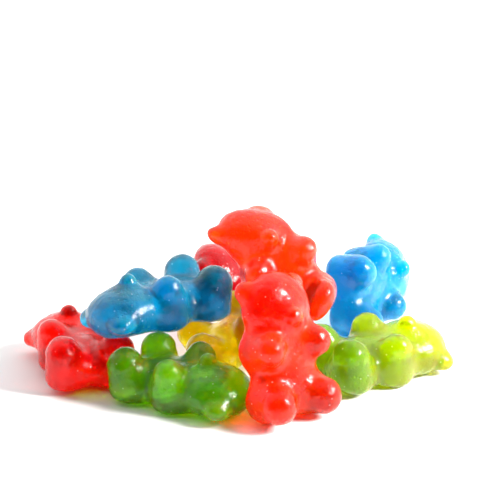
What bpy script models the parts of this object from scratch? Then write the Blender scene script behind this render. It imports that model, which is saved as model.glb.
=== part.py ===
"""A loose heap of nine gummy bears, each one its own closed solid, resting on a flat surface.

Every bear is cast from the same smooth mould shape: a flat back, a round head with two ears and
a muzzle, a belly, two arms and two legs that point straight out of the front. The shape is a
smooth distance field, and the skin is a cube grid that is drawn onto that field.
Sizes are in millimetres until the last step, which writes metres.
"""

import math

import bpy
import numpy as np

# One bear, in its own frame: x to the side, y out of the flat back, z from the feet to the head.
HEAD_CENTRE = (0.0, 3.4, 16.0)
HEAD_RADII = (5.0, 3.5, 5.0)
BELLY_CENTRE = (0.0, 2.8, 7.8)
BELLY_RADII = (4.7, 3.3, 6.3)
CHEST_CENTRE = (0.0, 2.6, 11.6)
CHEST_RADII = (4.2, 2.9, 3.6)
MUZZLE_BASE = (0.0, 4.2, 15.3)
MUZZLE_TIP = (0.0, 7.3, 14.8)
MUZZLE_RADII = (3.1, 1.15)
EAR_CENTRE = (3.75, 2.9, 18.75)
EAR_RADII = (1.65, 1.35, 1.65)
ARM_BASE = (3.3, 2.0, 10.8)
ARM_TIP = (3.8, 5.9, 10.9)
ARM_RADII = (2.5, 2.0)
LEG_BASE = (3.3, 2.6, 4.1)
LEG_TIP = (3.8, 5.5, 3.5)
LEG_RADII = (3.0, 2.5)
BODY_MIDDLE = (0.0, 3.6, 10.0)

# How widely the forms run into one another, and how round the rim of the flat back is.
BODY_BLEND = 2.0
LIMB_BLEND = 1.8
EAR_BLEND = 0.8
MUZZLE_BLEND = 1.3
RIM_BLEND = 1.6

# The skin: a cube grid around this stretched ball, drawn onto the form a share at a time while its
# corners slide apart evenly, then settled on it exactly.
START_CENTRE = (0.0, 3.8, 10.5)
START_RADII = (7.5, 6.0, 13.0)
GRID_SIDE = 11
SLIDE_ROUNDS = 50
SETTLE_ROUNDS = 10
DRAW_SHARE = 0.7
SLIDE_SHARE = 0.6
PROBE_STEP = 0.01
LEAST_STEEPNESS = 0.05

# A soft bear gives: bending moves its middle one way and its ends the other, level where the
# square of the height, in half lengths, has this value.
HALF_LENGTH = 10.0
BOW_LEVEL = 0.35

GUM_ROUGHNESS = 0.25
MILLIMETRE = 0.001

# Middle of the heap's outline on the surface, which is taken as the origin.
HEAP_MIDDLE = (-0.613, 14.077)

# Each bear: name, colour, middle of the body, turn in degrees (heading of the head from +x, climb
# of the long axis, spin of the front about that axis), size, and give (bend to the front and to
# the side, and twist in degrees from the middle to an end).
BEARS = (
    ("red_left", "red", (-24.0, 10.75, 3.64), (110.0, 0.0, 1.0), 1.05, (-0.5, 0.8, -4.0)),
    ("green_front", "green", (-8.5, -0.7, 3.40), (-34.0, 0.0, 1.0), 1.04, (-0.3, 0.0, 2.0)),
    ("lime_right", "lime", (19.8, 8.3, 3.83), (30.0, 0.0, 4.0), 1.07, (0.0, 0.0, 10.0)),
    ("red_front", "red", (6.1, -5.1, 9.24), (121.0, 70.0, 5.0), 1.04, (0.0, 0.1, -1.0)),
    ("yellow_mid", "yellow", (0.4, 12.1, 6.25), (14.0, 28.0, 6.0), 1.0, (0.3, 0.3, 12.0)),
    ("blue_left", "blue", (-11.6, 8.3, 12.00), (-143.0, -1.0, 6.0), 1.07, (-0.2, 0.0, 4.0)),
    ("red_top", "red", (5.4, 7.0, 16.93), (149.0, 54.0, -49.0), 0.985, (0.0, 2.2, 26.0)),
    ("red_back", "crimson", (1.2, 23.85, 7.34), (178.0, 45.0, -1.0), 0.96, (0.0, 0.0, 0.0)),
    ("blue_right", "blue", (20.3, 30.3, 6.85), (63.0, 0.0, 72.0), 1.076, (0.0, 1.0, -15.0)),
)
COLOURS = {
    "red": (0.90, 0.06, 0.02, 1.0),
    "crimson": (0.72, 0.0, 0.02, 1.0),
    "green": (0.12, 0.42, 0.0, 1.0),
    "lime": (0.42, 0.60, 0.0, 1.0),
    "yellow": (0.85, 0.62, 0.0, 1.0),
    "blue": (0.0, 0.30, 0.80, 1.0),
}


def soft_min(first, second, width):
    """Smaller of two fields, with a rounded change over the given width."""
    share = np.clip(0.5 + 0.5 * (second - first) / width, 0.0, 1.0)
    return second + (first - second) * share - width * share * (1.0 - share)


def ball(points, centre, radii):
    """Distance to a stretched ball, near enough to draw a skin onto it."""
    scaled = (points - np.array(centre)) / np.array(radii)
    near = np.linalg.norm(scaled, axis=1)
    slope = np.linalg.norm(scaled / np.array(radii), axis=1)
    return near * (near - 1.0) / np.maximum(slope, 1e-6)


def limb(points, start, end, radii):
    """Distance to a round-ended limb whose radius runs from the first to the second value."""
    start = np.array(start)
    axis = np.array(end) - start
    share = np.clip((points - start) @ axis / (axis @ axis), 0.0, 1.0)
    nearest = start + share[:, None] * axis
    radius = radii[0] + (radii[1] - radii[0]) * share
    return np.linalg.norm(points - nearest, axis=1) - radius


def bear_field(points):
    """Distance to one bear in its own frame; negative inside."""
    folded = np.column_stack([np.abs(points[:, 0]), points[:, 1], points[:, 2]])
    field = soft_min(ball(folded, BELLY_CENTRE, BELLY_RADII), ball(folded, CHEST_CENTRE, CHEST_RADII), BODY_BLEND)
    field = soft_min(field, ball(folded, HEAD_CENTRE, HEAD_RADII), BODY_BLEND)
    field = soft_min(field, limb(folded, MUZZLE_BASE, MUZZLE_TIP, MUZZLE_RADII), MUZZLE_BLEND)
    field = soft_min(field, ball(folded, EAR_CENTRE, EAR_RADII), EAR_BLEND)
    field = soft_min(field, limb(folded, ARM_BASE, ARM_TIP, ARM_RADII), LIMB_BLEND)
    field = soft_min(field, limb(folded, LEG_BASE, LEG_TIP, LEG_RADII), LIMB_BLEND)
    return -soft_min(-field, folded[:, 1], RIM_BLEND)


def field_slope(points):
    """Value of the bear field at each point and its gradient, by central differences."""
    slope = np.empty_like(points)
    for axis in range(3):
        step = np.zeros(3)
        step[axis] = PROBE_STEP
        ahead = bear_field(points + step)
        behind = bear_field(points - step)
        slope[:, axis] = (ahead - behind) / (2.0 * PROBE_STEP)
    return bear_field(points), slope


def cube_grid(side):
    """Corner positions of a grid over a cube's six sides, and its square faces."""
    first, second = np.meshgrid(np.arange(side + 1), np.arange(side + 1), indexing="ij")
    keys = []
    faces = []
    start = 0
    count = (side + 1) ** 2
    corner = first[:-1, :-1].ravel() * (side + 1) + second[:-1, :-1].ravel()
    square = np.column_stack([corner, corner + side + 1, corner + side + 2, corner + 1])
    for axis in range(3):
        for end in (0, side):
            sheet = np.empty((count, 3), dtype=np.int64)
            sheet[:, axis] = end
            sheet[:, (axis + 1) % 3] = first.ravel()
            sheet[:, (axis + 2) % 3] = second.ravel()
            keys.append(sheet)
            faces.append((square if end else square[:, ::-1]) + start)
            start += count
    unique, back = np.unique(np.concatenate(keys), axis=0, return_inverse=True)
    return unique, back.ravel()[np.concatenate(faces)]


def bear_skin(side):
    """Closed skin of one bear in its own frame: its corner points and square faces."""
    keys, faces = cube_grid(side)
    spread = np.tan((keys / side * 2.0 - 1.0) * math.pi / 4.0)
    spread /= np.linalg.norm(spread, axis=1)[:, None]
    points = np.array(START_CENTRE) + spread * np.array(START_RADII)
    edges = np.concatenate([faces[:, [0, 1]], faces[:, [1, 2]], faces[:, [2, 3]], faces[:, [3, 0]]])
    for _ in range(SLIDE_ROUNDS):
        value, slope = field_slope(points)
        steepness = np.maximum((slope ** 2).sum(axis=1), LEAST_STEEPNESS)
        points = points - DRAW_SHARE * (value / steepness)[:, None] * slope
        normal = slope / np.sqrt(steepness)[:, None]
        apart = points[edges[:, 1]] - points[edges[:, 0]]
        weight = np.linalg.norm(apart, axis=1)
        total = np.bincount(edges[:, 0], weight, len(points))
        pull = np.column_stack(
            [np.bincount(edges[:, 0], weight * apart[:, axis], len(points)) for axis in range(3)]
        ) / total[:, None]
        pull -= (pull * normal).sum(axis=1)[:, None] * normal
        points = points + SLIDE_SHARE * pull
    for _ in range(SETTLE_ROUNDS):
        value, slope = field_slope(points)
        steepness = np.maximum((slope ** 2).sum(axis=1), LEAST_STEEPNESS)
        points = points - (value / steepness)[:, None] * slope
    return points, faces


def bear_frame(heading, climb, spin):
    """Side, front and up directions of a bear as the columns of a matrix."""
    heading, climb, spin = (math.radians(angle) for angle in (heading, climb, spin))
    up = np.array((math.cos(climb) * math.cos(heading), math.cos(climb) * math.sin(heading), math.sin(climb)))
    level = np.array((-math.sin(climb) * math.cos(heading), -math.sin(climb) * math.sin(heading), math.cos(climb)))
    front = level * math.cos(spin) + np.cross(up, level) * math.sin(spin)
    return np.column_stack([np.cross(front, up), front, up])


def placed_points(skin_points, bear):
    """Corner points of one bear of the heap in the heap's frame, in millimetres."""
    middle, turn, size, (bow_front, bow_side, twist) = bear[2:]
    local = skin_points - np.array(BODY_MIDDLE)
    height = local[:, 2] / HALF_LENGTH
    angle = np.radians(twist * height)
    across = local[:, 0] * np.cos(angle) - local[:, 1] * np.sin(angle)
    out = local[:, 0] * np.sin(angle) + local[:, 1] * np.cos(angle)
    bow = height ** 2 - BOW_LEVEL
    soft = np.column_stack([across + bow_side * bow, out + bow_front * bow, local[:, 2]])
    placed = soft * size @ bear_frame(*turn).T + np.array(middle)
    placed[:, :2] -= np.array(HEAP_MIDDLE)
    placed[:, 2] = np.maximum(placed[:, 2], 0.0)
    return placed


def split_squares(points, faces):
    """Triangles from square faces, each split along its shorter diagonal."""
    first = np.linalg.norm(points[faces[:, 0]] - points[faces[:, 2]], axis=1)
    second = np.linalg.norm(points[faces[:, 1]] - points[faces[:, 3]], axis=1)
    short = (first <= second)[:, None]
    one = np.where(short, faces[:, [0, 1, 2]], faces[:, [0, 1, 3]])
    two = np.where(short, faces[:, [0, 2, 3]], faces[:, [1, 2, 3]])
    return np.concatenate([one, two])


def add_bear(bear, points, faces):
    """Mesh object of one bear, in metres, with its own material."""
    name, colour = bear[:2]
    mesh = bpy.data.meshes.new(name)
    mesh.from_pydata((points * MILLIMETRE).tolist(), [], split_squares(points, faces).tolist())
    mesh.update()
    material = bpy.data.materials.new(name + "_gum")
    material.use_nodes = True
    shader = next(node for node in material.node_tree.nodes if node.type == "BSDF_PRINCIPLED")
    shader.inputs["Base Color"].default_value = COLOURS[colour]
    shader.inputs["Roughness"].default_value = GUM_ROUGHNESS
    mesh.materials.append(material)
    bpy.context.scene.collection.objects.link(bpy.data.objects.new(name, mesh))


def main():
    """Clear the scene and build the heap from one skin, placed once for each bear."""
    for old in list(bpy.data.objects):
        bpy.data.objects.remove(old, do_unlink=True)
    skin_points, faces = bear_skin(GRID_SIDE)
    for bear in BEARS:
        add_bear(bear, placed_points(skin_points, bear), faces)


main()
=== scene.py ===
"""Gummy bears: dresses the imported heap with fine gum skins, see-through gum and a plain stage.

Each solid of the heap is one bear. It is replaced by a finer skin of the same mould form in the
same place, in metres, and the stage holds the floor, the soft light and the camera.
"""

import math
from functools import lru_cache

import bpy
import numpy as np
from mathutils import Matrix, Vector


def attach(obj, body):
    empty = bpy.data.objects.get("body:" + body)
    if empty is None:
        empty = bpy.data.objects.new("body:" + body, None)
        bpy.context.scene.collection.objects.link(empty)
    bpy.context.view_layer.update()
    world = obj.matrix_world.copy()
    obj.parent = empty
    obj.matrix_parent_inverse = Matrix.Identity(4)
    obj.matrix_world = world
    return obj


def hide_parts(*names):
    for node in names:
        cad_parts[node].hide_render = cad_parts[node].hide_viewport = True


bl_info = {
    "name": "Gummy Bear Heap",
    "version": (1, 0, 0),
    "blender": (4, 5, 0),
    "location": "3D View > Sidebar > Gummy Bears",
    "description": "Builds a loose heap of see-through gummy bears on a pale stage",
    "category": "Add Mesh",
}

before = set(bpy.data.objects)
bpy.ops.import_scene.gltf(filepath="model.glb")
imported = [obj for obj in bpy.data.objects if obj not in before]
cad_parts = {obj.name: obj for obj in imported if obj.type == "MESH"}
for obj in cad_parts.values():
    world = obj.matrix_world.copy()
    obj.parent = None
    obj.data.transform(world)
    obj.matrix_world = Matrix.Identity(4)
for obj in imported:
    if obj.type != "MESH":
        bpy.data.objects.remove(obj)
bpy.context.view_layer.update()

MILLIMETRE = 0.001

# One bear in its own frame, in millimetres: x to the side, y out of the flat back, z from the
# feet to the head.
HEAD_CENTRE = (0.0, 3.4, 16.0)
HEAD_RADII = (5.0, 3.5, 5.0)
BELLY_CENTRE = (0.0, 2.8, 7.8)
BELLY_RADII = (4.7, 3.3, 6.3)
CHEST_CENTRE = (0.0, 2.6, 11.6)
CHEST_RADII = (4.2, 2.9, 3.6)
MUZZLE_BASE = (0.0, 4.2, 15.3)
MUZZLE_TIP = (0.0, 7.3, 14.8)
MUZZLE_RADII = (3.1, 1.15)
EAR_CENTRE = (3.75, 2.9, 18.75)
EAR_RADII = (1.65, 1.35, 1.65)
ARM_BASE = (3.3, 2.0, 10.8)
ARM_TIP = (3.8, 5.9, 10.9)
ARM_RADII = (2.5, 2.0)
LEG_BASE = (3.3, 2.6, 4.1)
LEG_TIP = (3.8, 5.5, 3.5)
LEG_RADII = (3.0, 2.5)
BODY_MIDDLE = (0.0, 3.6, 10.0)
BODY_BLEND = 2.0
LIMB_BLEND = 1.8
EAR_BLEND = 0.8
MUZZLE_BLEND = 1.3
RIM_BLEND = 1.6

# The skin: a cube grid around this stretched ball, drawn onto the form a share at a time while
# its corners slide apart evenly, then made finer by halving its squares.
START_CENTRE = (0.0, 3.8, 10.5)
START_RADII = (7.5, 6.0, 13.0)
COARSE_SIDE = 11
COARSE_ROUNDS = 50
FINER_ROUNDS = 6
SETTLE_ROUNDS = 3
DRAW_SHARE = 0.7
SLIDE_SHARE = 0.6
PROBE_STEP = 0.01
LEAST_STEEPNESS = 0.05
LEAST_SLOPE = 1e-6
LEAST_LENGTH = 1e-12

# Bending is level where the square of the height, in half lengths, has this value.
HALF_LENGTH = 10.0
BOW_LEVEL = 0.35

# Middle of the heap's box on the floor, in millimetres: it becomes the origin.
HEAP_MIDDLE = (-0.613, 14.077)

# Each bear: node, gum, middle, turn in degrees (heading, climb, spin), size, and give (bend to
# the front and to the side, twist in degrees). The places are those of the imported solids.
BEARS = {
    "red_left": ("strawberry", (-24.0, 10.75, 3.64), (110.0, 0.0, 1.0), 1.05, (-0.5, 0.8, -4.0)),
    "green_front": ("apple", (-8.5, -0.7, 3.40), (-34.0, 0.0, 1.0), 1.04, (-0.3, 0.0, 2.0)),
    "lime_right": ("lime", (19.8, 8.3, 3.83), (30.0, 0.0, 4.0), 1.07, (0.0, 0.0, 10.0)),
    "red_front": ("cherry", (6.1, -5.1, 9.24), (121.0, 70.0, 5.0), 1.04, (0.0, 0.1, -1.0)),
    "yellow_mid": ("lemon", (0.4, 12.1, 6.25), (14.0, 28.0, 6.0), 1.0, (0.3, 0.3, 12.0)),
    "blue_left": ("bilberry", (-11.6, 8.3, 12.00), (-143.0, -1.0, 6.0), 1.07, (-0.2, 0.0, 4.0)),
    "red_top": ("cherry", (5.4, 7.0, 16.93), (149.0, 54.0, -49.0), 0.985, (0.0, 2.2, 26.0)),
    "red_back": ("raspberry", (1.2, 23.85, 7.34), (178.0, 45.0, -1.0), 0.96, (0.0, 0.0, 0.0)),
    "blue_right": ("blueberry", (20.3, 30.3, 6.85), (63.0, 0.0, 72.0), 1.076, (0.0, 1.0, -15.0)),
}
RED_BEARS = ("red_left", "red_front", "red_top", "red_back")
GREEN_BEARS = ("green_front", "lime_right")
YELLOW_BEARS = ("yellow_mid",)
BLUE_BEARS = ("blue_left", "blue_right")

# How strongly each gum takes up red, green and blue light, in parts of the density per metre.
UPTAKE = {
    "strawberry": (0.0, 0.12, 0.15),
    "cherry": (0.0, 0.10, 0.15),
    "raspberry": (0.05, 0.3, 0.1),
    "apple": (0.06, 0.006, 0.3),
    "lime": (0.06, 0.03, 0.3),
    "lemon": (0.02, 0.03, 0.3),
    "blueberry": (0.3, 0.06, 0.02),
    "bilberry": (0.2, 0.08, 0.03),
}
UPTAKE_DENSITY = 1000.0

# Painted light shining through: the paler tint each gum is painted where the body is thin.
SHINE_THROUGH_TINTS = {
    "strawberry": (1.0, 0.035, 0.006),
    "cherry": (1.0, 0.12, 0.008),
    "raspberry": (0.75, 0.0, 0.010),
    "apple": (0.52, 0.86, 0.0),
    "lime": (0.50, 0.65, 0.0),
    "lemon": (1.0, 0.88, 0.0),
    "blueberry": (0.0, 0.62, 0.85),
    "bilberry": (0.0, 0.55, 0.80),
}

# The yellow-green bear turns to this tint towards its head, over this span of the heap's x.
RIPE_TINT = (0.56, 0.57, 0.0)
RIPE_SPAN = (0.013, 0.029)

# Painted light shining through: thin parts are painted paler.
# A body counts as thin where a probe this deep, in millimetres, nears the skin on the far side.
THIN_REACH = 2.5

# Relief of the skin: wavelength in millimetres and number of waves of the slow unevenness and of
# the dimples, the spread of the wavelengths, and the height over which it fades to the floor.
SEED = 20
WOBBLE_WAVES = (5.0, 24)
DIMPLE_WAVES = (1.3, 40)
WAVE_SPREAD = (0.7, 1.4)
RELIEF_FADE = 0.4

# Surface pattern. Grain and cloud are ranges of a noise; pits and bubbles are ranges of the
# distance from a cell's middle, and the choice is the range of a cell's draw that gives a pit.
GRAIN_RANGE = (0.3, 0.7)
GRAIN_HEIGHT = 0.5
GRAIN_DETAIL = 2.0
PIT_RANGE = (0.10, 0.34)
PIT_CHOICE = (0.45, 0.55)
BUBBLE_RANGE = (0.07, 0.16)
BUBBLE_PALENESS = 0.45
CLOUD_RANGE = (0.35, 0.65)
CLOUD_SCALE = 160.0
CLOUD_DETAIL = 1.0
CLOUD_SHADE = (0.80, 0.72, 0.80)

# Gum as a material: a weakly shining body that scatters light forward, under a glossy coat.
GUM_IOR = 1.27
GUM_SPECULAR = 0.05
COAT_WEIGHT = 0.55
COAT_IOR = 1.35
SCATTER_SCALE = 0.012
SCATTER_FORWARD = 0.7
LEAST_SCATTER = 0.12

# Stage, in metres. The even light is dark on the camera's side, below the first value of the
# direction's y, and full above the second.
FLOOR_HALF = 2.0
FLOOR_ROUGHNESS = 0.7
MOTTLE_SCALE = 30.0
MOTTLE_SHADE = 0.985
DARK_SIDE = (-0.6, 0.3)
KEY_PLACE = (0.24, -0.08, 0.17)
KEY_AIM = (0.002, -0.004, 0.010)
KEY_SIZE = (0.10, 0.10)
KEY_COLOUR = (1.0, 0.99, 0.97)
SENSOR_WIDTH = 36.0
CLIP_START = 0.01

# The photo's middle lies this many of its pixels above the point HEAP_MIDDLE is measured from.
PIXELS_ABOVE_START = 160.0
PIXELS_PER_MILLIMETRE = 7.0


def soft_min(first, second, width):
    """Smaller of two fields, with a rounded change over the given width."""
    share = np.clip(0.5 + 0.5 * (second - first) / width, 0.0, 1.0)
    return second + (first - second) * share - width * share * (1.0 - share)


def ball(points, centre, radii):
    """Distance to a stretched ball: its scaled radius less one, over the slope of that radius."""
    scaled = (points - np.array(centre)) / np.array(radii)
    near = np.linalg.norm(scaled, axis=1)
    slope = np.linalg.norm(scaled / np.array(radii), axis=1)
    return near * (near - 1.0) / np.maximum(slope, LEAST_SLOPE)


def limb(points, start, end, radii):
    """Distance to a round-ended limb whose radius runs from the first to the second value."""
    start = np.array(start)
    axis = np.array(end) - start
    share = np.clip((points - start) @ axis / (axis @ axis), 0.0, 1.0)
    nearest = start + share[:, None] * axis
    radius = radii[0] + (radii[1] - radii[0]) * share
    return np.linalg.norm(points - nearest, axis=1) - radius


def bear_field(points):
    """Distance to one bear: the soft smallest of its balls and limbs, cut by the flat back."""
    folded = np.column_stack([np.abs(points[:, 0]), points[:, 1], points[:, 2]])
    belly = ball(folded, BELLY_CENTRE, BELLY_RADII)
    field = soft_min(belly, ball(folded, CHEST_CENTRE, CHEST_RADII), BODY_BLEND)
    field = soft_min(field, ball(folded, HEAD_CENTRE, HEAD_RADII), BODY_BLEND)
    field = soft_min(field, limb(folded, MUZZLE_BASE, MUZZLE_TIP, MUZZLE_RADII), MUZZLE_BLEND)
    field = soft_min(field, ball(folded, EAR_CENTRE, EAR_RADII), EAR_BLEND)
    field = soft_min(field, limb(folded, ARM_BASE, ARM_TIP, ARM_RADII), LIMB_BLEND)
    field = soft_min(field, limb(folded, LEG_BASE, LEG_TIP, LEG_RADII), LIMB_BLEND)
    return -soft_min(-field, folded[:, 1], RIM_BLEND)


def field_slope(points):
    """Value of the bear field at each point and its gradient, by central differences."""
    slope = np.empty_like(points)
    for axis in range(3):
        step = np.zeros(3)
        step[axis] = PROBE_STEP
        rise = bear_field(points + step) - bear_field(points - step)
        slope[:, axis] = rise / (2.0 * PROBE_STEP)
    return bear_field(points), slope


def cube_grid(side):
    """Whole-number corner places of a grid over a cube's six sides, and its square faces."""
    first, second = np.meshgrid(np.arange(side + 1), np.arange(side + 1), indexing="ij")
    keys = []
    faces = []
    start = 0
    count = (side + 1) ** 2
    corner = first[:-1, :-1].ravel() * (side + 1) + second[:-1, :-1].ravel()
    square = np.column_stack([corner, corner + side + 1, corner + side + 2, corner + 1])
    for axis in range(3):
        for end in (0, side):
            sheet = np.empty((count, 3), dtype=np.int64)
            sheet[:, axis] = end
            sheet[:, (axis + 1) % 3] = first.ravel()
            sheet[:, (axis + 2) % 3] = second.ravel()
            keys.append(sheet)
            faces.append((square if end else square[:, ::-1]) + start)
            start += count
    unique, back = np.unique(np.concatenate(keys), axis=0, return_inverse=True)
    return unique, back.ravel()[np.concatenate(faces)]


def drawn(points, faces, rounds):
    """Points moved onto the bear field down its gradient, and slid along it to even squares."""
    edges = np.concatenate([faces[:, [side, (side + 1) % 4]] for side in range(4)])
    for _ in range(rounds):
        value, slope = field_slope(points)
        steepness = np.maximum((slope ** 2).sum(axis=1), LEAST_STEEPNESS)
        points = points - DRAW_SHARE * (value / steepness)[:, None] * slope
        normal = slope / np.sqrt(steepness)[:, None]
        apart = points[edges[:, 1]] - points[edges[:, 0]]
        weight = np.linalg.norm(apart, axis=1)
        total = np.bincount(edges[:, 0], weight, len(points))
        pull = np.column_stack(
            [np.bincount(edges[:, 0], weight * apart[:, axis], len(points)) for axis in range(3)]
        ) / total[:, None]
        pull -= (pull * normal).sum(axis=1)[:, None] * normal
        points = points + SLIDE_SHARE * pull
    for _ in range(SETTLE_ROUNDS):
        value, slope = field_slope(points)
        steepness = np.maximum((slope ** 2).sum(axis=1), LEAST_STEEPNESS)
        points = points - (value / steepness)[:, None] * slope
    return points


@lru_cache(maxsize=2)
def bear_skin(halvings):
    """Closed skin of one bear in its own frame: a cube grid drawn onto the field, then halved."""
    side = COARSE_SIDE
    keys, faces = cube_grid(side)
    spread = np.tan((keys / side * 2.0 - 1.0) * math.pi / 4.0)
    spread /= np.linalg.norm(spread, axis=1)[:, None]
    points = drawn(np.array(START_CENTRE) + spread * np.array(START_RADII), faces, COARSE_ROUNDS)
    for _ in range(halvings):
        index = np.zeros((side + 1,) * 3, dtype=np.int64)
        index[tuple(keys.T)] = np.arange(len(keys))
        side *= 2
        keys, faces = cube_grid(side)
        low = points[index[tuple((keys // 2).T)]]
        high = points[index[tuple(((keys + 1) // 2).T)]]
        points = drawn((low + high) / 2.0, faces, FINER_ROUNDS)
    return points, faces


def ripple(points, wavelength, waves, generator):
    """Soft random field from -1 to 1 or so: a sum of sine waves of random heading and start."""
    heading = generator.normal(size=(waves, 3))
    heading /= np.linalg.norm(heading, axis=1)[:, None]
    stretch = generator.uniform(*WAVE_SPREAD, waves)
    start = generator.uniform(0.0, 2.0 * math.pi, waves)
    phase = points @ (heading * (2.0 * math.pi / wavelength * stretch)[:, None]).T + start
    return np.sin(phase).sum(axis=1) * math.sqrt(2.0 / waves) / 2.0


def bear_frame(heading, climb, spin):
    """Side, front and up directions of a bear as the columns of a matrix."""
    heading, climb, spin = (math.radians(angle) for angle in (heading, climb, spin))
    ahead, aside = math.cos(heading), math.sin(heading)
    flat, steep = math.cos(climb), math.sin(climb)
    up = np.array((flat * ahead, flat * aside, steep))
    level = np.array((-steep * ahead, -steep * aside, flat))
    front = level * math.cos(spin) + np.cross(up, level) * math.sin(spin)
    return np.column_stack([np.cross(front, up), front, up])


def placed_points(skin_points, middle, turn, size, give):
    """Skin points bent by a square law, twisted evenly, then turned and set in the heap's frame."""
    bow_front, bow_side, twist = give
    local = skin_points - np.array(BODY_MIDDLE)
    height = local[:, 2] / HALF_LENGTH
    angle = np.radians(twist * height)
    across = local[:, 0] * np.cos(angle) - local[:, 1] * np.sin(angle)
    out = local[:, 0] * np.sin(angle) + local[:, 1] * np.cos(angle)
    bow = height ** 2 - BOW_LEVEL
    soft = np.column_stack([across + bow_side * bow, out + bow_front * bow, local[:, 2]])
    placed = soft * size @ bear_frame(*turn).T + np.array(middle)
    placed[:, :2] -= np.array(HEAP_MIDDLE)
    placed[:, 2] = np.maximum(placed[:, 2], 0.0)
    return placed


def point_normals(points, faces):
    """Outward direction at each point: the sum of its squares' normals, made one long."""
    across = points[faces[:, 2]] - points[faces[:, 0]]
    along = points[faces[:, 3]] - points[faces[:, 1]]
    normal = np.repeat(np.cross(across, along), 4, axis=0)
    total = np.column_stack(
        [np.bincount(faces.ravel(), normal[:, axis], len(points)) for axis in range(3)]
    )
    return total / np.maximum(np.linalg.norm(total, axis=1), LEAST_LENGTH)[:, None]


def bear_piece(node, sizes, material):
    """Adds one bear: the fine skin, uneven and faintly dimpled, in place of its solid."""
    gum, middle, turn, size, give = BEARS[node]
    generator = np.random.default_rng(SEED + list(BEARS).index(node))
    skin_points, faces = bear_skin(sizes.halvings)
    points = placed_points(skin_points, middle, turn, size, give)
    normal = point_normals(points, faces)
    relief = sizes.wobble / MILLIMETRE * ripple(points, *WOBBLE_WAVES, generator)
    relief += sizes.dimples / MILLIMETRE * ripple(points, *DIMPLE_WAVES, generator)
    resting = np.clip(points[:, 2] / RELIEF_FADE, 0.0, 1.0)
    points = points + (relief * resting)[:, None] * normal
    mesh = bpy.data.meshes.new(node + "_bear")
    mesh.vertices.add(len(points))
    mesh.vertices.foreach_set("co", (points * MILLIMETRE).astype(np.float32).ravel())
    mesh.loops.add(faces.size)
    mesh.loops.foreach_set("vertex_index", faces.ravel().astype(np.int32))
    mesh.polygons.add(len(faces))
    mesh.polygons.foreach_set("loop_start", np.arange(0, faces.size, 4, dtype=np.int32))
    mesh.update(calc_edges=True)
    mesh.polygons.foreach_set("use_smooth", np.ones(len(faces), dtype=bool))
    # Painted light shining through: a share from 0 to 1 of how thin the body is under each point,
    # which pales the gum's colour there.
    inward = bear_field(skin_points - THIN_REACH * point_normals(skin_points, faces))
    shine_through_share = np.clip(1.0 + inward / THIN_REACH, 0.0, 1.0).astype(np.float32)
    thinness = mesh.attributes.new("thinness", "FLOAT", "POINT")
    thinness.data.foreach_set("value", shine_through_share)
    mesh.materials.append(material)
    piece = bpy.data.objects.new(node + "_bear", mesh)
    bpy.context.scene.collection.objects.link(piece)
    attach(piece, "root")
    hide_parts(node)


def node_group(name, sockets):
    """New shader node group with the named sockets, and its input and output nodes."""
    group = bpy.data.node_groups.new(name, "ShaderNodeTree")
    for socket, kind, way in sockets:
        group.interface.new_socket(name=socket, in_out=way, socket_type="NodeSocket" + kind)
    return group, group.nodes.new("NodeGroupInput"), group.nodes.new("NodeGroupOutput")


def gum_surface_group():
    """Shared surface of cast gum: fine grain, pits left by starch, and bubbles under the skin."""
    name = "gum_surface"
    if name in bpy.data.node_groups:
        return bpy.data.node_groups[name]
    group, inside, outside = node_group(name, (
        ("Grain Size", "Float", "INPUT"),
        ("Pit Size", "Float", "INPUT"),
        ("Bubble Size", "Float", "INPUT"),
        ("Bubble Share", "Float", "INPUT"),
        ("Height", "Float", "OUTPUT"),
        ("Bubbles", "Float", "OUTPUT"),
        ("Cloud", "Float", "OUTPUT"),
    ))
    nodes = group.nodes
    links = group.links
    place = nodes.new("ShaderNodeTexCoord")

    def per_length(socket):
        node = nodes.new("ShaderNodeMath")
        node.operation = "DIVIDE"
        node.inputs[0].default_value = 1.0
        links.new(socket, node.inputs[1])
        return node.outputs[0]

    def noise(scale, detail):
        node = nodes.new("ShaderNodeTexNoise")
        node.inputs["Detail"].default_value = detail
        links.new(place.outputs["Object"], node.inputs["Vector"])
        links.new(scale, node.inputs["Scale"])
        return node.outputs["Fac"]

    def ranged(value, span, bottom, top):
        node = nodes.new("ShaderNodeMapRange")
        node.interpolation_type = "SMOOTHSTEP"
        node.inputs["From Min"].default_value = span[0]
        node.inputs["From Max"].default_value = span[1]
        node.inputs["To Min"].default_value = bottom
        node.inputs["To Max"].default_value = top
        links.new(value, node.inputs["Value"])
        return node.outputs["Result"]

    def combined(operation, first, second):
        node = nodes.new("ShaderNodeMath")
        node.operation = operation
        links.new(first, node.inputs[0])
        links.new(second, node.inputs[1])
        return node.outputs[0]

    def cells(scale):
        node = nodes.new("ShaderNodeTexVoronoi")
        links.new(place.outputs["Object"], node.inputs["Vector"])
        links.new(scale, node.inputs["Scale"])
        return node.outputs

    speckle = noise(per_length(inside.outputs["Grain Size"]), GRAIN_DETAIL)
    grain = ranged(speckle, GRAIN_RANGE, 0.0, GRAIN_HEIGHT)
    pit = cells(per_length(inside.outputs["Pit Size"]))
    dents = ranged(pit["Distance"], PIT_RANGE, -1.0, 0.0)
    chosen = ranged(pit["Color"], PIT_CHOICE, 0.0, 1.0)
    pits = combined("MULTIPLY", dents, chosen)
    links.new(combined("ADD", grain, pits), outside.inputs["Height"])
    bubble = cells(per_length(inside.outputs["Bubble Size"]))
    dots = ranged(bubble["Distance"], BUBBLE_RANGE, 1.0, 0.0)
    shown = combined("LESS_THAN", bubble["Color"], inside.outputs["Bubble Share"])
    links.new(combined("MULTIPLY", dots, shown), outside.inputs["Bubbles"])
    cloud = nodes.new("ShaderNodeValue")
    cloud.outputs[0].default_value = CLOUD_SCALE
    haze = noise(cloud.outputs[0], CLOUD_DETAIL)
    links.new(ranged(haze, CLOUD_RANGE, 0.0, 1.0), outside.inputs["Cloud"])
    return group


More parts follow.
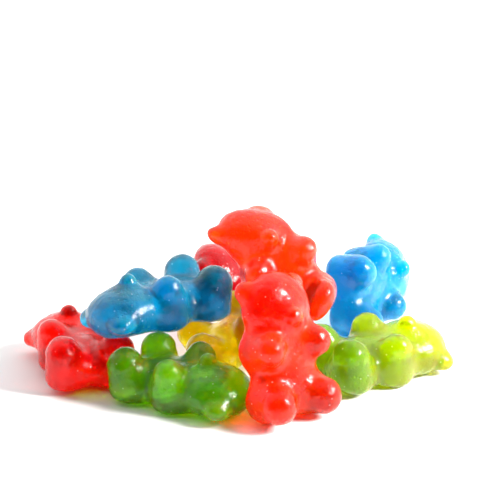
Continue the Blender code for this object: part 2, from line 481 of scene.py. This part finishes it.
def gum_tint_group():
    """Shared gum tint: deep colour, painted paler where thin as light shining through; clouds, pale
    bubbles.
    """
    name = "gum_tint"
    if name in bpy.data.node_groups:
        return bpy.data.node_groups[name]
    group, inside, outside = node_group(name, (
        ("Deep", "Color", "INPUT"),
        ("Thin", "Color", "INPUT"),
        ("Thinness", "Float", "INPUT"),
        ("Cloud", "Float", "INPUT"),
        ("Bubbles", "Float", "INPUT"),
        ("Colour", "Color", "OUTPUT"),
    ))
    nodes = group.nodes
    links = group.links

    def mixed(factor, first, second, blend="MIX"):
        node = nodes.new("ShaderNodeMix")
        node.data_type = "RGBA"
        node.blend_type = blend
        for socket, value in (("Factor", factor), ("A", first), ("B", second)):
            if isinstance(value, (float, tuple)):
                node.inputs[socket].default_value = value
            else:
                links.new(value, node.inputs[socket])
        return node.outputs["Result"]

    # Painted light shining through: the colour turns from deep to the paler tint where the body is
    # thin.
    body = mixed(inside.outputs["Thinness"], inside.outputs["Deep"], inside.outputs["Thin"])
    darker = mixed(1.0, body, (*CLOUD_SHADE, 1.0), "MULTIPLY")
    clouded = mixed(inside.outputs["Cloud"], body, darker)
    paler = mixed(BUBBLE_PALENESS, inside.outputs["Thin"], (1.0, 1.0, 1.0, 1.0))
    links.new(mixed(inside.outputs["Bubbles"], clouded, paler), outside.inputs["Colour"])
    return group


def ripen(material, tint, colours):
    """Turns the yellow-green bear more yellow from its feet to its head, along the heap's x."""
    nodes = material.node_tree.nodes
    links = material.node_tree.links
    place = nodes.new("ShaderNodeTexCoord")
    parts = nodes.new("ShaderNodeSeparateXYZ")
    links.new(place.outputs["Object"], parts.inputs["Vector"])
    along = nodes.new("ShaderNodeMapRange")
    along.inputs["From Min"].default_value = RIPE_SPAN[0]
    along.inputs["From Max"].default_value = RIPE_SPAN[1]
    links.new(parts.outputs["X"], along.inputs["Value"])
    # Painted light shining through: the paler tint of thin parts also turns from lime to lemon.
    for socket, first, second in (
        ("Deep", colours.lime, RIPE_TINT),
        ("Thin", SHINE_THROUGH_TINTS["lime"], SHINE_THROUGH_TINTS["lemon"]),
    ):
        mix = nodes.new("ShaderNodeMix")
        mix.data_type = "RGBA"
        mix.inputs["A"].default_value = (*first, 1.0)
        mix.inputs["B"].default_value = (*second, 1.0)
        links.new(along.outputs["Result"], mix.inputs["Factor"])
        links.new(mix.outputs["Result"], tint.inputs[socket])


def gum_material(gum, sizes, colours):
    """See-through gum: a frosted, tinted skin round a body that takes up light with depth."""
    if gum in bpy.data.materials:
        return bpy.data.materials[gum]
    material = bpy.data.materials.new(gum)
    material.use_nodes = True
    skin_tint = getattr(colours, gum)
    nodes = material.node_tree.nodes
    links = material.node_tree.links
    shader = next(node for node in nodes if node.type == "BSDF_PRINCIPLED")
    output = next(node for node in nodes if node.type == "OUTPUT_MATERIAL")
    surface = nodes.new("ShaderNodeGroup")
    surface.node_tree = gum_surface_group()
    surface.inputs["Grain Size"].default_value = sizes.grain
    surface.inputs["Pit Size"].default_value = sizes.pits
    surface.inputs["Bubble Size"].default_value = sizes.bubbles
    surface.inputs["Bubble Share"].default_value = sizes.bubble_share
    bump = nodes.new("ShaderNodeBump")
    bump.inputs["Strength"].default_value = sizes.bump_strength
    bump.inputs["Distance"].default_value = sizes.bump_depth
    links.new(surface.outputs["Height"], bump.inputs["Height"])
    links.new(bump.outputs["Normal"], shader.inputs["Normal"])
    tint = nodes.new("ShaderNodeGroup")
    tint.node_tree = gum_tint_group()
    # Painted light shining through: the skin's tint is paler where the body is thin.
    tint.inputs["Deep"].default_value = (*skin_tint, 1.0)
    tint.inputs["Thin"].default_value = (*SHINE_THROUGH_TINTS[gum], 1.0)
    thinness = nodes.new("ShaderNodeAttribute")
    thinness.attribute_name = "thinness"
    links.new(thinness.outputs["Fac"], tint.inputs["Thinness"])
    links.new(surface.outputs["Cloud"], tint.inputs["Cloud"])
    links.new(surface.outputs["Bubbles"], tint.inputs["Bubbles"])
    links.new(tint.outputs["Colour"], shader.inputs["Base Color"])
    if gum == "lime":
        ripen(material, tint, colours)
    shader.inputs["Roughness"].default_value = sizes.roughness
    shader.inputs["IOR"].default_value = GUM_IOR
    shader.inputs["Specular IOR Level"].default_value = GUM_SPECULAR
    shader.inputs["Coat Weight"].default_value = COAT_WEIGHT
    shader.inputs["Coat Roughness"].default_value = sizes.gloss
    shader.inputs["Coat IOR"].default_value = COAT_IOR
    links.new(bump.outputs["Normal"], shader.inputs["Coat Normal"])
    shader.inputs["Transmission Weight"].default_value = sizes.clearness
    shader.inputs["Subsurface Weight"].default_value = 1.0
    reach = tuple(max(value, LEAST_SCATTER) for value in skin_tint)
    shader.inputs["Subsurface Radius"].default_value = reach
    shader.inputs["Subsurface Scale"].default_value = SCATTER_SCALE
    shader.inputs["Subsurface Anisotropy"].default_value = SCATTER_FORWARD
    depth = nodes.new("ShaderNodeVolumeAbsorption")
    depth.inputs["Color"].default_value = (*(1.0 - value for value in UPTAKE[gum]), 1.0)
    depth.inputs["Density"].default_value = UPTAKE_DENSITY * colours.depth
    links.new(depth.outputs["Volume"], output.inputs["Volume"])
    return material


def turn_to(thing, place, aim):
    """Sets a light or camera at its place so that its -Z looks at the aim."""
    look = Vector(aim) - Vector(place)
    thing.location = place
    thing.rotation_euler = look.to_track_quat("-Z", "Y").to_euler()


def add_floor(scene, stage):
    """Wide sheet of pale paper under the heap, very faintly mottled."""
    half = FLOOR_HALF
    corners = [(-half, -half, 0.0), (half, -half, 0.0), (half, half, 0.0), (-half, half, 0.0)]
    mesh = bpy.data.meshes.new("floor")
    mesh.from_pydata(corners, [], [(0, 1, 2, 3)])
    paper = bpy.data.materials.new("floor_paper")
    paper.use_nodes = True
    nodes = paper.node_tree.nodes
    links = paper.node_tree.links
    shader = next(node for node in nodes if node.type == "BSDF_PRINCIPLED")
    shader.inputs["Roughness"].default_value = FLOOR_ROUGHNESS
    place = nodes.new("ShaderNodeTexCoord")
    noise = nodes.new("ShaderNodeTexNoise")
    noise.inputs["Scale"].default_value = MOTTLE_SCALE
    links.new(place.outputs["Object"], noise.inputs["Vector"])
    mix = nodes.new("ShaderNodeMix")
    mix.data_type = "RGBA"
    mix.inputs["A"].default_value = (*stage.floor, 1.0)
    mix.inputs["B"].default_value = (*(value * MOTTLE_SHADE for value in stage.floor), 1.0)
    links.new(noise.outputs["Fac"], mix.inputs["Factor"])
    links.new(mix.outputs["Result"], shader.inputs["Base Color"])
    mesh.materials.append(paper)
    floor = bpy.data.objects.new("floor", mesh)
    scene.collection.objects.link(floor)


def add_world(scene, stage):
    """Even white light all round, darkened on the camera's side."""
    world = bpy.data.worlds.new("white_room")
    world.use_nodes = True
    nodes = world.node_tree.nodes
    links = world.node_tree.links
    sky = next(node for node in nodes if node.type == "BACKGROUND")
    sky.inputs["Strength"].default_value = stage.sky
    way = nodes.new("ShaderNodeTexCoord")
    parts = nodes.new("ShaderNodeSeparateXYZ")
    links.new(way.outputs["Generated"], parts.inputs["Vector"])
    fade = nodes.new("ShaderNodeMapRange")
    fade.inputs["From Min"].default_value = DARK_SIDE[0]
    fade.inputs["From Max"].default_value = DARK_SIDE[1]
    fade.inputs["To Min"].default_value = stage.front
    fade.inputs["To Max"].default_value = 1.0
    links.new(parts.outputs["Y"], fade.inputs["Value"])
    links.new(fade.outputs["Result"], sky.inputs["Color"])
    scene.world = world


def add_key(scene, stage):
    """The one soft square light, from the right in front of the heap."""
    data = bpy.data.lights.new("key", "AREA")
    data.shape = "RECTANGLE"
    data.size, data.size_y = KEY_SIZE
    data.energy = stage.key
    data.color = KEY_COLOUR
    lamp = bpy.data.objects.new("key", data)
    scene.collection.objects.link(lamp)
    turn_to(lamp, KEY_PLACE, KEY_AIM)


def add_camera(scene, stage):
    """Camera that looks at the heap from the photo's side and height."""
    slope = stage.elevation
    lift = PIXELS_ABOVE_START / PIXELS_PER_MILLIMETRE * MILLIMETRE
    target = (
        -HEAP_MIDDLE[0] * MILLIMETRE,
        math.sin(slope) * lift - HEAP_MIDDLE[1] * MILLIMETRE,
        math.cos(slope) * lift,
    )
    eye = (
        target[0],
        target[1] - stage.distance * math.cos(slope),
        target[2] + stage.distance * math.sin(slope),
    )
    data = bpy.data.cameras.new("camera")
    data.lens = stage.lens
    data.sensor_width = SENSOR_WIDTH
    data.clip_start = CLIP_START
    camera = bpy.data.objects.new("camera", data)
    scene.collection.objects.link(camera)
    turn_to(camera, eye, target)
    scene.camera = camera


class GummySizes(bpy.types.PropertyGroup):
    """Sizes of the bears' skin and surface."""

    halvings: bpy.props.IntProperty(
        name="Halvings", description="How often the coarse skin's squares are halved", default=3,
        min=0, max=3)
    wobble: bpy.props.FloatProperty(
        name="Wobble", description="Height of the slow unevenness of each bear", default=0.00008,
        subtype="DISTANCE", unit="LENGTH", precision=6)
    dimples: bpy.props.FloatProperty(
        name="Dimples", description="Height of the small unevenness of the skin", default=0.000028,
        subtype="DISTANCE", unit="LENGTH", precision=6)
    grain: bpy.props.FloatProperty(
        name="Grain", description="Width of the skin's grain", default=0.00030,
        subtype="DISTANCE", unit="LENGTH", precision=6)
    pits: bpy.props.FloatProperty(
        name="Pits", description="Spacing of the pits", default=0.00075,
        subtype="DISTANCE", unit="LENGTH", precision=6)
    bubbles: bpy.props.FloatProperty(
        name="Bubbles", description="Spacing of the bubbles under the skin", default=0.0011,
        subtype="DISTANCE", unit="LENGTH", precision=6)
    bubble_share: bpy.props.FloatProperty(
        name="Bubble Share", description="Share of places that hold a bubble", default=0.5,
        min=0.0, max=1.0, subtype="FACTOR")
    bump_strength: bpy.props.FloatProperty(
        name="Bump Strength", description="Strength of grain and pits", default=0.8,
        min=0.0, max=1.0, subtype="FACTOR")
    bump_depth: bpy.props.FloatProperty(
        name="Bump Depth", description="Depth of grain and pits", default=0.000045,
        subtype="DISTANCE", unit="LENGTH", precision=6)
    roughness: bpy.props.FloatProperty(
        name="Roughness", description="How frosted the body is", default=0.25,
        min=0.0, max=1.0, subtype="FACTOR")
    gloss: bpy.props.FloatProperty(
        name="Gloss", description="Spread of the highlights", default=0.04,
        min=0.0, max=1.0, subtype="FACTOR")
    clearness: bpy.props.FloatProperty(
        name="Clearness", description="Share of light that passes into the gum clearly",
        default=0.80, min=0.0, max=1.0, subtype="FACTOR")


class GummyColours(bpy.types.PropertyGroup):
    """Skin tints of the gums, and how deep their colour is."""

    strawberry: bpy.props.FloatVectorProperty(
        name="Strawberry", description="Skin tint of the left red bear",
        default=(0.98, 0.014, 0.003), subtype="COLOR", min=0.0, max=1.0)
    cherry: bpy.props.FloatVectorProperty(
        name="Cherry", description="Skin tint of the front and top red bears",
        default=(1.0, 0.050, 0.001), subtype="COLOR", min=0.0, max=1.0)
    raspberry: bpy.props.FloatVectorProperty(
        name="Raspberry", description="Skin tint of the crimson bear", default=(0.60, 0.0, 0.004),
        subtype="COLOR", min=0.0, max=1.0)
    apple: bpy.props.FloatVectorProperty(
        name="Apple", description="Skin tint of the green bear", default=(0.26, 0.74, 0.0),
        subtype="COLOR", min=0.0, max=1.0)
    lime: bpy.props.FloatVectorProperty(
        name="Lime", description="Skin tint of the yellow-green bear", default=(0.25, 0.53, 0.0),
        subtype="COLOR", min=0.0, max=1.0)
    lemon: bpy.props.FloatVectorProperty(
        name="Lemon", description="Skin tint of the yellow bear", default=(1.0, 0.86, 0.0),
        subtype="COLOR", min=0.0, max=1.0)
    blueberry: bpy.props.FloatVectorProperty(
        name="Blueberry", description="Skin tint of the right blue bear", default=(0.0, 0.44, 0.68),
        subtype="COLOR", min=0.0, max=1.0)
    bilberry: bpy.props.FloatVectorProperty(
        name="Bilberry", description="Skin tint of the left blue bear", default=(0.003, 0.34, 0.48),
        subtype="COLOR", min=0.0, max=1.0)
    depth: bpy.props.FloatProperty(
        name="Depth", description="How fast colour deepens with thickness", default=0.8,
        min=0.0, max=4.0)


class GummyStage(bpy.types.PropertyGroup):
    """Floor, light and camera."""

    floor: bpy.props.FloatVectorProperty(
        name="Floor", description="Colour of the floor", default=(0.92, 0.92, 0.92),
        subtype="COLOR", min=0.0, max=1.0)
    sky: bpy.props.FloatProperty(
        name="Sky", description="Brightness of the even white light all round", default=1.65,
        min=0.0)
    front: bpy.props.FloatProperty(
        name="Front", description="Share of the even light that comes from the camera's side",
        default=0.0, min=0.0, max=1.0, subtype="FACTOR")
    key: bpy.props.FloatProperty(
        name="Key", description="Power of the soft light", default=2.7, min=0.0,
        subtype="POWER", unit="POWER")
    lens: bpy.props.FloatProperty(
        name="Lens", description="Focal length of the camera in millimetres", default=131.25,
        min=1.0)
    distance: bpy.props.FloatProperty(
        name="Distance", description="Distance from the camera to its aim", default=0.25,
        subtype="DISTANCE", unit="LENGTH")
    elevation: bpy.props.FloatProperty(
        name="Elevation", description="Angle of the camera above the floor",
        default=math.radians(18.0), subtype="ANGLE", unit="ROTATION")


class BearOperator:
    """Shared work of the operators that add bears."""

    bl_options = {"REGISTER", "UNDO"}
    nodes = ()

    def execute(self, context):
        sizes = context.scene.gummy_sizes
        colours = context.scene.gummy_colours
        for node in self.nodes:
            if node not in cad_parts:
                raise RuntimeError("the packed heap has no node " + node)
            bear_piece(node, sizes, gum_material(BEARS[node][0], sizes, colours))
        return {"FINISHED"}


class GUMMY_OT_reds(BearOperator, bpy.types.Operator):
    """Adds the red and crimson bears"""

    bl_idname = "gummy.reds"
    bl_label = "Add Red Bears"
    nodes = RED_BEARS


class GUMMY_OT_greens(BearOperator, bpy.types.Operator):
    """Adds the green and the yellow-green bear"""

    bl_idname = "gummy.greens"
    bl_label = "Add Green Bears"
    nodes = GREEN_BEARS


class GUMMY_OT_yellows(BearOperator, bpy.types.Operator):
    """Adds the yellow bear"""

    bl_idname = "gummy.yellows"
    bl_label = "Add Yellow Bear"
    nodes = YELLOW_BEARS


class GUMMY_OT_blues(BearOperator, bpy.types.Operator):
    """Adds the blue bears"""

    bl_idname = "gummy.blues"
    bl_label = "Add Blue Bears"
    nodes = BLUE_BEARS


class GUMMY_OT_stage(bpy.types.Operator):
    """Adds the pale floor, the soft light and the camera"""

    bl_idname = "gummy.stage"
    bl_label = "Add Stage"
    bl_options = {"REGISTER", "UNDO"}

    def execute(self, context):
        scene = context.scene
        stage = scene.gummy_stage
        scene.view_settings.view_transform = "Standard"
        add_floor(scene, stage)
        add_world(scene, stage)
        add_key(scene, stage)
        add_camera(scene, stage)
        return {"FINISHED"}


class GUMMY_PT_panel(bpy.types.Panel):
    """Panel with the heap's steps and settings"""

    bl_idname = "GUMMY_PT_panel"
    bl_label = "Gummy Bears"
    bl_space_type = "VIEW_3D"
    bl_region_type = "UI"
    bl_category = "Gummy Bears"

    def draw(self, context):
        layout = self.layout
        scene = context.scene
        for settings in (scene.gummy_sizes, scene.gummy_colours, scene.gummy_stage):
            box = layout.box()
            for name in settings.__annotations__:
                box.prop(settings, name)
        for step in STEPS:
            layout.operator(step)


CLASSES = (
    GummySizes, GummyColours, GummyStage, GUMMY_OT_stage, GUMMY_OT_reds, GUMMY_OT_greens,
    GUMMY_OT_yellows, GUMMY_OT_blues, GUMMY_PT_panel,
)
STEPS = ("gummy.stage", "gummy.reds", "gummy.greens", "gummy.yellows", "gummy.blues")


def register():
    """Registers the classes and hangs the settings on the scene."""
    for kind in CLASSES:
        bpy.utils.register_class(kind)
    bpy.types.Scene.gummy_sizes = bpy.props.PointerProperty(type=GummySizes)
    bpy.types.Scene.gummy_colours = bpy.props.PointerProperty(type=GummyColours)
    bpy.types.Scene.gummy_stage = bpy.props.PointerProperty(type=GummyStage)


def unregister():
    """Takes the settings off the scene and unregisters the classes."""
    del bpy.types.Scene.gummy_sizes
    del bpy.types.Scene.gummy_colours
    del bpy.types.Scene.gummy_stage
    for kind in reversed(CLASSES):
        bpy.utils.unregister_class(kind)


def main():
    """Registers the add-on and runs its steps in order."""
    register()
    bpy.ops.gummy.stage()
    bpy.ops.gummy.reds()
    bpy.ops.gummy.greens()
    bpy.ops.gummy.yellows()
    bpy.ops.gummy.blues()


if __name__ == "__main__":
    main()
